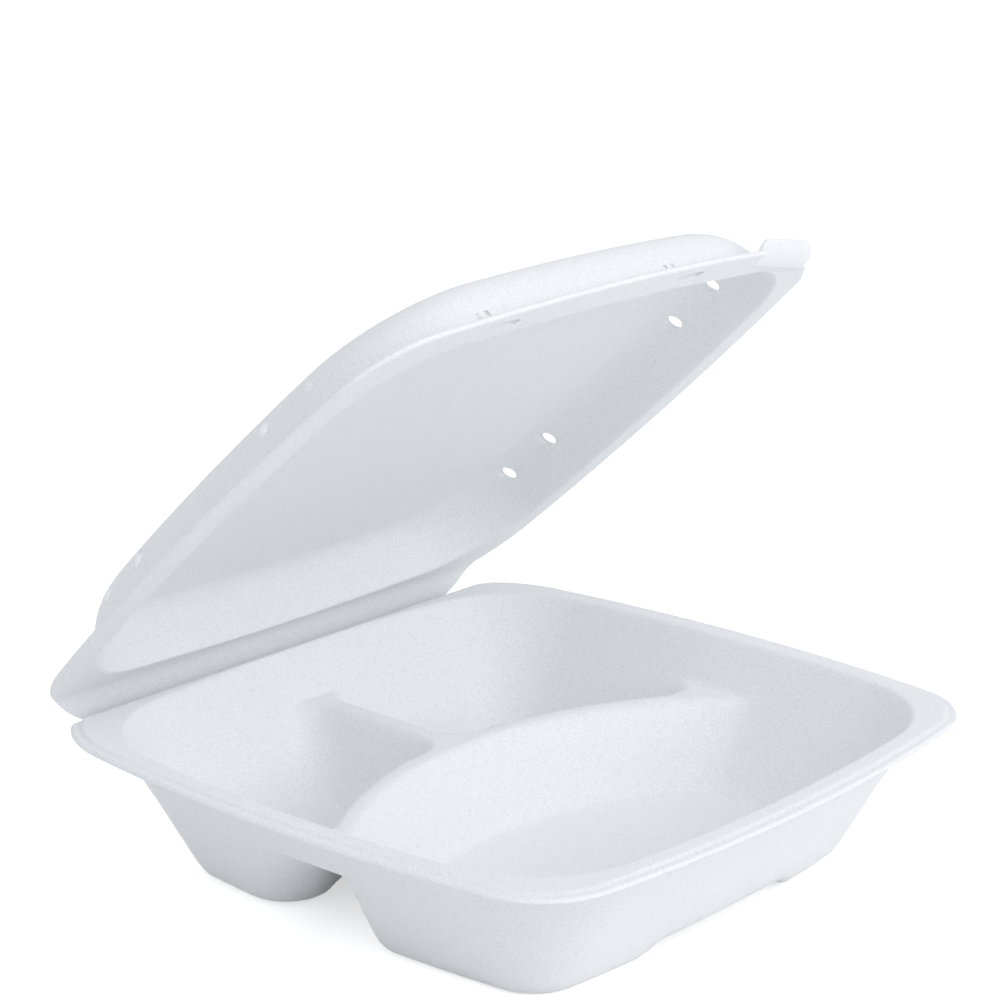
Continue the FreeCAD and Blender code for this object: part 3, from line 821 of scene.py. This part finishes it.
@dataclass
class LiftTab:
    """The lid's front right corner, cut free at one end and curled up to lift the lid by.

    Attributes:
        middle: The middle of the crease that the tab bends up from.
        turn: Direction that the tab points in, from X towards the front, in degrees.
        half: Half the length of the crease.
        notch: Gap cut in the flange beside the tab's left end.
        length: Length of the tab beyond its crease, along the curl.
        margin: How far the straight cut runs on beyond the tab's right end.
        slant: How far back the cut's far end lies, where it runs off the flange.
        root: How far the tab reaches into the flange behind its crease.
        slopes: Slope at the crease and at the tip, in degrees.
        corner: Corner radius at the tip.
        inset: How much each face draws in, so that the tab is thinner than the flange.
        fine: Distances from an edge at which its round is worked out.
        coarse_from: Distance from the ends at which the even columns start.
        coarse_share: Share of the way to the tip at which the even rows end.
        columns: How many even columns there are.
        rows: How many even rows there are.
    """

    middle: tuple[float, float] = (80.5, -96.6)
    turn: float = 74.0
    half: float = 19.6
    notch: float = 1.6
    margin: float = 1.0
    slant: float = 26.0
    length: float = 9.5
    root: float = 3.0
    slopes: tuple[float, float] = (14.0, 50.0)
    corner: float = 5.5
    inset: float = 0.12
    fine: tuple[float, ...] = (0.0, 0.12, 0.35, 0.7, 1.2)
    coarse_from: float = 2.0
    coarse_share: float = 0.85
    columns: int = 41
    rows: int = 26

    def directions(self) -> tuple[np.ndarray, np.ndarray]:
        """The directions across the crease, outwards, and along it, to the right."""
        turn = math.radians(self.turn)
        outwards = np.array([math.cos(turn), -math.sin(turn)])
        return outwards, np.array([-outwards[1], outwards[0]])

    def cutter(self) -> bpy.types.Object:
        """Make the block that takes the flange's corner off beyond the crease.

        Returns:
            The block.
        """
        outwards, along = self.directions()
        left = -self.half - self.notch
        right = self.half + self.margin
        beyond = SIZES.rim_half / 2
        plan = [(left, beyond), (left, 0), (right, 0), (beyond, -self.slant), (beyond, beyond)]
        work = bmesh.new()
        rings = []
        for level in (SIZES.lid_seat - SIZES.foam, SIZES.lid_seat + 2 * SIZES.foam):
            places = [np.array(self.middle) + along * beside + outwards * past for beside, past in plan]
            rings.append([work.verts.new((place[0] * MM, place[1] * MM, level * MM)) for place in places])
        low, high = rings
        work.faces.new(low[::-1])
        work.faces.new(high)
        for index, point in enumerate(low):
            after = (index + 1) % len(low)
            work.faces.new((point, low[after], high[after], high[index]))
        bmesh.ops.recalc_face_normals(work, faces=work.faces)
        return from_bmesh("tab_cutter", work)

    def curl(self, distance: Field) -> tuple[Field, Field, Field]:
        """Where the tab's underside runs.

        Args:
            distance: Distances along the curl from the crease, negative behind it.

        Returns:
            How far out and how high each place lies, and its slope in radians.
        """
        start, end = (math.radians(slope) for slope in self.slopes)
        bend = (end - start) / self.length
        slope = start + bend * distance
        out = (np.sin(slope) - math.sin(start)) / bend
        rise = (math.cos(start) - np.cos(slope)) / bend
        behind = distance < 0
        return np.where(behind, distance, out), np.where(behind, 0, rise), np.where(behind, 0, slope)

    def build(self) -> bpy.types.Object:
        """Make the tab as a curled sheet with round corners, rooted in the flange.

        Returns:
            The tab.
        """
        fine = np.array(self.fine)
        even = np.linspace(self.coarse_from - self.half, self.half - self.coarse_from, self.columns)
        beside = np.concatenate([fine - self.half, even, self.half - fine[::-1]])
        even = np.linspace(0, self.coarse_share, self.rows)
        shares = np.concatenate([even, 1 - fine[::-1] / self.length])
        over = np.clip(abs(beside) - (self.half - self.corner), 0, self.corner)
        tip = self.length - self.corner + np.sqrt(self.corner**2 - over**2)
        across, share = np.meshgrid(beside, shares)
        distance = -self.root + share * (tip + self.root)[None, :]
        out, rise, slope = self.curl(distance)
        edge = np.minimum(self.half - abs(across), (1 - share) * (self.length + self.root))
        tuck = edge_tuck(edge, EDGE_ROUND)
        outwards, along = self.directions()
        faces = []
        for offset in (SIZES.foam - SIZES.edge_step - tuck - self.inset, tuck + self.inset):
            past = out - np.sin(slope) * offset
            height = SIZES.lid_seat + rise + np.cos(slope) * offset
            x = self.middle[0] + along[0] * across + outwards[0] * past
            y = self.middle[1] + along[1] * across + outwards[1] * past
            faces.append(np.stack([x, y, height], axis=2)[::-1])
        return closed_sheet("lift_tab", *faces)


@dataclass
class Lid:
    """The lid: a flange round a low dome with a well rounded brow, vents, latch slots and a lift tab.

    Attributes:
        rise: Height of the top over the base's rim.
        top_half, top_front, top_inset, top_corner: Half width, front, set-back from the hinge and
            corner radius of the dome's walls where they would reach the top.
        brow_round: Radius of the round between wall and top.
        foot_blend: Rounding between the dome and the flange.
        vent_radius, vent_rise, vent_middle, vent_spread, vent_pitch: Radius of a vent, its height over
            the base's rim, the middle of all along Y, and how far apart pairs and vents stand.
        slots: Where along X the latch slots lie.
        slot_size, slot_inset, slot_corner: Length and width, distance from the front edge, and corners.
        slit_pitch, slit_width, slit_rise, slit_depth, slit_corner: Distance between two slits, and the
            size and corners of one.
        cutter_height, slit_reach: Sizes of the cutting blocks.
        least_lean: Least lean of a wall that the brow is worked out for.
        sharp_angle: Angle in degrees from which an edge is shown sharp.
        tab: The lift tab.
    """

    rise: float = 21.0
    top_half: float = 93.8
    top_front: float = 100.6
    top_inset: float = 15.0
    top_corner: float = 46.0
    brow_round: float = 9.0
    foot_blend: float = 1.5
    vent_radius: float = 2.5
    vent_rise: float = 14.6
    vent_middle: float = -2.0
    vent_spread: float = 49.0
    vent_pitch: float = 23.0
    slots: tuple[float, float] = (-57.0, 25.0)
    slot_size: tuple[float, float] = (14.0, 3.0)
    slot_inset: float = 5.5
    slit_pitch: float = 3.6
    slit_width: float = 1.4
    slit_rise: float = 5.0
    slit_depth: float = 1.6
    slot_corner: float = 1.2
    slit_corner: float = 0.5
    cutter_height: float = 12.0
    slit_reach: float = 4.0
    least_lean: float = 0.02
    sharp_angle: float = 50.0
    tab: LiftTab = field(default_factory=LiftTab)

    @property
    def top(self) -> float:
        """Height of the shut lid above the table."""
        return SIZES.rim_height + self.rise

    def wall(self, height: float, grow: float) -> Outline:
        """The dome's outer wall at a height, if it ran on straight to the top.

        Args:
            height: Height above the table, with the lid shut.
            grow: How far the outline is moved outwards.

        Returns:
            The outline.
        """
        up = (height - SIZES.flange_top) / (self.top - SIZES.flange_top)
        half = SIZES.mouth_half + (self.top_half - SIZES.mouth_half) * up
        front = SIZES.mouth_front + (self.top_front - SIZES.mouth_front) * up
        back = SIZES.mouth_back + (SIZES.mouth_inset - self.top_inset) * up
        corner = SIZES.mouth_corner + (self.top_corner - SIZES.mouth_corner) * up
        return SIZES.walled(half, front, back, (corner, corner), grow)

    def dome_face(self, x: Field, y: Field, inside: float) -> Field:
        """Height of one face of the dome, its brow a quarter round between wall and top.

        Args:
            x: Places along X.
            y: Places along Y.
            inside: How far the face lies inside the dome's outer face.

        Returns:
            The height at each point, the wall carried on below the flange.
        """
        across = inside * math.hypot(1, (SIZES.mouth_half - self.top_half) / (self.top - SIZES.flange_top))
        top = self.top - inside
        radius = self.brow_round - inside
        at_top = self.wall(top, -across).depth(x, y)
        at_foot = self.wall(SIZES.flange_top, -across).depth(x, y)
        lean = np.maximum((at_foot - at_top) / (top - SIZES.flange_top), self.least_lean)
        short = radius - at_top
        reach = short * lean + radius
        root = np.sqrt(np.maximum(reach**2 - (1 + lean**2) * short**2, 0))
        drop = np.where(at_top > -lean * radius, (reach - root) / (1 + lean**2), -at_top / lean)
        return top - np.where(short < 0, 0, drop)

    def slot_cutters(self) -> bpy.types.Object:
        """Make the blocks for the latch slots and for the pair of slits in the wall above each.

        Returns:
            All the blocks in one object.
        """
        slot_block = (*self.slot_size, self.cutter_height)
        slit_block = (self.slit_width, self.slit_reach, self.slit_rise)
        boxes = []
        for x in self.slots:
            bowed = x**2 / (2 * SIZES.bow_radius)
            slot_y = bowed + self.slot_inset - SIZES.rim_front
            boxes.append(((x, slot_y, SIZES.flange_top), slot_block, self.slot_corner))
            slit_y = bowed - SIZES.mouth_front + self.slit_depth - self.slit_reach / 2
            for side in (-0.5, 0.5):
                place = (x + side * self.slit_pitch, slit_y, SIZES.flange_top + self.slit_rise / 2)
                boxes.append((place, slit_block, self.slit_corner))
        work = bmesh.new()
        for place, size, bevel in boxes:
            made = bmesh.ops.create_cube(work, size=1)["verts"]
            bmesh.ops.scale(work, vec=Vector(size) * MM, verts=made)
            bmesh.ops.translate(work, vec=Vector(place) * MM, verts=made)
            edges = [
                edge
                for edge in {edge for vert in made for edge in vert.link_edges}
                if abs(edge.verts[0].co.z - edge.verts[1].co.z) > size[2] * MM / 2
            ]
            bmesh.ops.bevel(work, geom=edges, offset=bevel * MM, segments=4, affect="EDGES")
        return from_bmesh("slot_cutters", work)

    def build(self, foam: bpy.types.Material) -> bpy.types.Object:
        """Make the lid's shell shut, cut it, open it to the rest pose and set it on the lid.

        Args:
            foam: The material that it is made of.

        Returns:
            The shell.
        """
        grid = PlanGrid(inner_rings=30, outer_rings=78, fine_from=0.76)
        x, y = grid.x, grid.y
        flange_top = SIZES.flange_face(y, SIZES.seat_gap + SIZES.foam) - SIZES.pressed_band(grid.edge)
        flange_low = SIZES.flange_face(y, SIZES.seat_gap)
        top = smooth_max(flange_top, self.dome_face(x, y, 0.0), self.foot_blend)
        bottom = smooth_max(flange_low, self.dome_face(x, y, SIZES.foam), self.foot_blend)
        bottom = np.minimum(bottom, top - LEAST_WALL)
        shell = pressed_sheet("lid_shell", grid, top, bottom)
        cut_out(shell, VentTree(self, foam).build())
        cut_out(shell, self.slot_cutters())
        cut_out(shell, self.tab.cutter())
        take_in(shell, self.tab.build())
        hinge = Vector((0, SIZES.hinge_back, SIZES.hinge_height)) * MM
        swing = Matrix.Rotation(-math.radians(SIZES.open_angle), 4, "X")
        shell.data.transform(Matrix.Translation(hinge) @ swing @ Matrix.Translation(-hinge))
        shell.data.set_sharp_from_angle(angle=math.radians(self.sharp_angle))
        shell.data.materials.clear()
        shell.data.materials.append(foam)
        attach(shell, "lid")
        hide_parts("lid")
        return shell


@dataclass
class VentTree:
    """A node tree that sets one rod through the lid for each pair of facing steam vents.

    Attributes:
        lid: The lid that the vents go through.
        foam: The material on the walls of the vents.
        rod_sides: How many sides a rod has.
    """

    lid: Lid
    foam: bpy.types.Material
    rod_sides: int = 40

    def group(self) -> bpy.types.GeometryNodeTree:
        """Build the tree: two pairs of points along Y, and a rod along X on each point.

        Returns:
            The tree.
        """
        tree = bpy.data.node_groups.new("steam_vents", "GeometryNodeTree")
        tree.interface.new_socket("Geometry", in_out="OUTPUT", socket_type="NodeSocketGeometry")
        for name in ("Radius", "Height", "Middle", "Spread", "Pitch", "Rod"):
            tree.interface.new_socket(name, in_out="INPUT", socket_type="NodeSocketFloat")
        tree.interface.new_socket("Foam", in_out="INPUT", socket_type="NodeSocketMaterial")
        given = add_node(tree, "NodeGroupInput").outputs
        apart = add_node(tree, "ShaderNodeMath", {0: given["Spread"], 1: 2.0}, operation="MULTIPLY")
        middle = {0: given["Middle"], 1: given["Spread"]}
        first = add_node(tree, "ShaderNodeMath", middle, operation="SUBTRACT")
        before = add_node(tree, "ShaderNodeMath", {0: given["Pitch"], 1: -0.5}, operation="MULTIPLY")
        outer = self.pair(tree, {"Y": first.outputs[0], "Z": given["Height"]}, apart.outputs[0])
        inner = self.pair(tree, {"Y": before.outputs[0]}, given["Pitch"])
        pairs = add_node(tree, "GeometryNodeInstanceOnPoints", {"Points": outer, "Instance": inner})
        points = add_node(tree, "GeometryNodeRealizeInstances", {"Geometry": pairs.outputs["Instances"]})
        size = {"Vertices": self.rod_sides, "Radius": given["Radius"], "Depth": given["Rod"]}
        rod = add_node(tree, "GeometryNodeMeshCylinder", size).outputs["Mesh"]
        laid = {"Points": points.outputs["Geometry"], "Instance": rod, "Rotation": (0, math.pi / 2, 0)}
        rods = add_node(tree, "GeometryNodeInstanceOnPoints", laid).outputs["Instances"]
        solid = add_node(tree, "GeometryNodeRealizeInstances", {"Geometry": rods}).outputs["Geometry"]
        dressed = add_node(tree, "GeometryNodeSetMaterial", {"Geometry": solid, "Material": given["Foam"]})
        add_node(tree, "NodeGroupOutput", {"Geometry": dressed.outputs["Geometry"]})
        return tree

    def pair(
        self,
        tree: bpy.types.GeometryNodeTree,
        start: dict[str, bpy.types.NodeSocket],
        step: bpy.types.NodeSocket,
    ) -> bpy.types.NodeSocket:
        """Add a line of two points.

        Args:
            tree: The tree it goes into.
            start: What feeds the first point's place, by axis.
            step: What feeds the distance to the second point, along Y.

        Returns:
            The line's mesh.
        """
        place = add_node(tree, "ShaderNodeCombineXYZ", start)
        offset = add_node(tree, "ShaderNodeCombineXYZ", {"Y": step})
        run = {"Count": 2, "Start Location": place.outputs[0], "Offset": offset.outputs[0]}
        return add_node(tree, "GeometryNodeMeshLine", run).outputs["Mesh"]

    def build(self) -> bpy.types.Object:
        """Run the tree once.

        Returns:
            Its rods as a plain mesh object.
        """
        tree = self.group()
        holder = link("vent_cutters", bpy.data.meshes.new("vent_cutters"))
        modifier = holder.modifiers.new("steam_vents", "NODES")
        modifier.node_group = tree
        values = {
            "Radius": self.lid.vent_radius * MM,
            "Height": (SIZES.rim_height + self.lid.vent_rise) * MM,
            "Middle": self.lid.vent_middle * MM,
            "Spread": self.lid.vent_spread * MM,
            "Pitch": self.lid.vent_pitch * MM,
            "Rod": SIZES.rim_half * 2 * MM,
            "Foam": self.foam,
        }
        for item in tree.interface.items_tree:
            if item.in_out == "INPUT" and item.name in values:
                modifier[item.identifier] = values[item.name]
        ready = holder.evaluated_get(bpy.context.evaluated_depsgraph_get())
        holder.data = bpy.data.meshes.new_from_object(ready)
        holder.modifiers.clear()
        return holder


@dataclass
class Hinge:
    """The thin line of pressed foam that joins the two leaves.

    Attributes:
        radius: Radius of the fold.
        half: Half its length.
        segments: How many sides it has.
    """

    radius: float = 0.55
    half: float = 85.0
    segments: int = 12

    def build(self, foam: bpy.types.Material) -> bpy.types.Object:
        """Make the fold as a slim round rod along the hinge line, where the leaves meet.

        Args:
            foam: The material that it is made of.

        Returns:
            The fold.
        """
        work = bmesh.new()
        bmesh.ops.create_cone(
            work,
            cap_ends=True,
            segments=self.segments,
            radius1=self.radius * MM,
            radius2=self.radius * MM,
            depth=self.half * 2 * MM,
        )
        bmesh.ops.rotate(work, cent=(0, 0, 0), matrix=Matrix.Rotation(math.pi / 2, 3, "Y"), verts=work.verts)
        place = Vector((0, SIZES.hinge_back, SIZES.hinge_height)) * MM
        bmesh.ops.translate(work, vec=place, verts=work.verts)
        fold = from_bmesh("hinge_fold", work)
        fold.data.materials.append(foam)
        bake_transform(fold)
        return fold


@dataclass
class Camera:
    """The camera, fitted to the rims, the hinge and the feet in the photo.

    Attributes:
        azimuth, elevation: Where it stands, in degrees.
        lens, sensor: Focal length and sensor width.
        distance: How far it stands from the place it looks at.
        pan_right, pan_up: How far it is moved sideways and upwards.
        look_at: The place it looks at before it is moved.
    """

    azimuth: float = -48.368
    elevation: float = 16.094
    lens: float = 100.8
    sensor: float = 36.0
    distance: float = 892.2
    pan_right: float = -3.15
    pan_up: float = 67.7
    look_at: tuple[float, float, float] = (0.0, 4.45, 48.0)

    def build(self) -> bpy.types.Object:
        """Place the camera and make it the scene's own.

        Returns:
            The camera.
        """
        a, e = math.radians(self.azimuth), math.radians(self.elevation)
        back = Vector((math.sin(a) * math.cos(e), -math.cos(a) * math.cos(e), math.sin(e)))
        right = Vector((math.cos(a), math.sin(a), 0))
        up = back.cross(right)
        data = bpy.data.cameras.new("camera")
        data.lens = self.lens
        data.sensor_width = self.sensor
        data.dof.use_dof = False
        camera = link("camera", data)
        place = Vector(self.look_at) + right * self.pan_right + up * self.pan_up + back * self.distance
        camera.matrix_world = Matrix.Translation(place * MM) @ Matrix((right, up, back)).transposed().to_4x4()
        bpy.context.scene.camera = camera
        return camera


class LampRole(Enum):
    """What each lamp does for the picture."""

    KEY = "key"
    FILL = "fill"


@dataclass(frozen=True)
class Lamp:
    """A round soft lamp that looks at the object.

    Attributes:
        role: What it does.
        place, size: Where it hangs and its diameter, in metres.
        power: Its power in watts.
        aim: The place it looks at, in metres.
    """

    role: LampRole
    place: tuple[float, float, float]
    size: float
    power: float
    aim: tuple[float, float, float] = (0.0, 0.02, 0.06)

    def build(self) -> None:
        """Hang the lamp."""
        data = bpy.data.lights.new(self.role.value, "AREA")
        data.shape = "DISK"
        data.size = self.size
        data.energy = self.power
        lamp = link(self.role.value, data)
        lamp.location = self.place
        sight = Vector(self.aim) - Vector(self.place)
        lamp.rotation_euler = sight.to_track_quat("-Z", "Y").to_euler()


@dataclass
class Studio:
    """A white packshot studio: a soft key, a weak fill, and a floor that runs out to white.

    Attributes:
        world_strength: How brightly the world lights the object.
        world_colour: The colour of that light.
        floor_colour: Colour of the floor.
        floor_lift: How much brighter the floor looks to the camera than the light makes it.
        floor_size, floor_drop: Size of the floor, and how far it lies under the table level, in metres.
        lamps: The lamps.
    """

    world_strength: float = 0.69
    world_colour: str = "F3F6FA"
    floor_colour: str = "F6F6F6"
    floor_lift: float = 0.55
    floor_size: float = 6.0
    floor_drop: float = 0.0002
    lamps: tuple[Lamp, ...] = (
        Lamp(LampRole.KEY, (0.3, -1.5, 0.9), 1.2, 8.6),
        Lamp(LampRole.FILL, (-0.8, -0.9, 1.5), 1.2, 4.6),
    )

    def build(self) -> None:
        """Light the scene and lay the floor."""
        bpy.context.scene.view_settings.view_transform = "Standard"
        self.world()
        self.floor()
        for lamp in self.lamps:
            lamp.build()

    def seen_directly(self, tree: bpy.types.NodeTree) -> bpy.types.NodeSocket:
        """Tell the rays that show a surface from those that light the object.

        Args:
            tree: The tree that asks.

        Returns:
            1 where a ray comes from the camera or through something glossy or clear, else 0.
        """
        path = add_node(tree, "ShaderNodeLightPath").outputs
        glossy = {0: path["Is Camera Ray"], 1: path["Is Glossy Ray"]}
        either = add_node(tree, "ShaderNodeMath", glossy, operation="MAXIMUM")
        clear = {0: either.outputs[0], 1: path["Is Transmission Ray"]}
        return add_node(tree, "ShaderNodeMath", clear, operation="MAXIMUM").outputs[0]

    def world(self) -> None:
        """A white world that lights the object at a plainer level than it shows."""
        world = bpy.data.worlds.new("studio")
        bpy.context.scene.world = world
        world.use_nodes = True
        tree = world.node_tree
        light = tree.nodes["Background"]
        feed(tree, light, {"Color": linear(self.world_colour), "Strength": self.world_strength})
        shown = add_node(tree, "ShaderNodeBackground", {"Color": WHITE, "Strength": 1.0})
        seen = self.seen_directly(tree)
        choice = {0: seen, 1: light.outputs["Background"], 2: shown.outputs["Background"]}
        mix = add_node(tree, "ShaderNodeMixShader", choice)
        feed(tree, tree.nodes["World Output"], {"Surface": mix.outputs["Shader"]})

    def floor(self) -> None:
        """A floor of matte white paper that keeps the object's shadow and runs out to white."""
        bpy.ops.mesh.primitive_plane_add(size=self.floor_size, location=(0, 0, -self.floor_drop))
        floor = bpy.context.object
        floor.name = "floor"
        material = bpy.data.materials.new("white_paper")
        material.use_nodes = True
        tree = material.node_tree
        seen = {0: self.seen_directly(tree), 1: self.floor_lift}
        lift = add_node(tree, "ShaderNodeMath", seen, operation="MULTIPLY")
        paper = {
            "Base Color": linear(self.floor_colour),
            "Roughness": 1.0,
            "Specular IOR Level": 0.0,
            "Emission Color": WHITE,
            "Emission Strength": lift.outputs[0],
        }
        feed(tree, tree.nodes["Principled BSDF"], paper)
        floor.data.materials.append(material)


def main() -> None:
    """Build the camera, the container and the studio, and log how many faces each piece of the container has.
    """
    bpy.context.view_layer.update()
    Camera().build()
    foam = FoamFinish().build()
    for maker in (Base(), Lid(), Hinge()):
        piece = maker.build(foam)
        LOG.info("%s with %d faces", piece.name, len(piece.data.polygons))
    Studio().build()


if __name__ == "__main__":
    main()
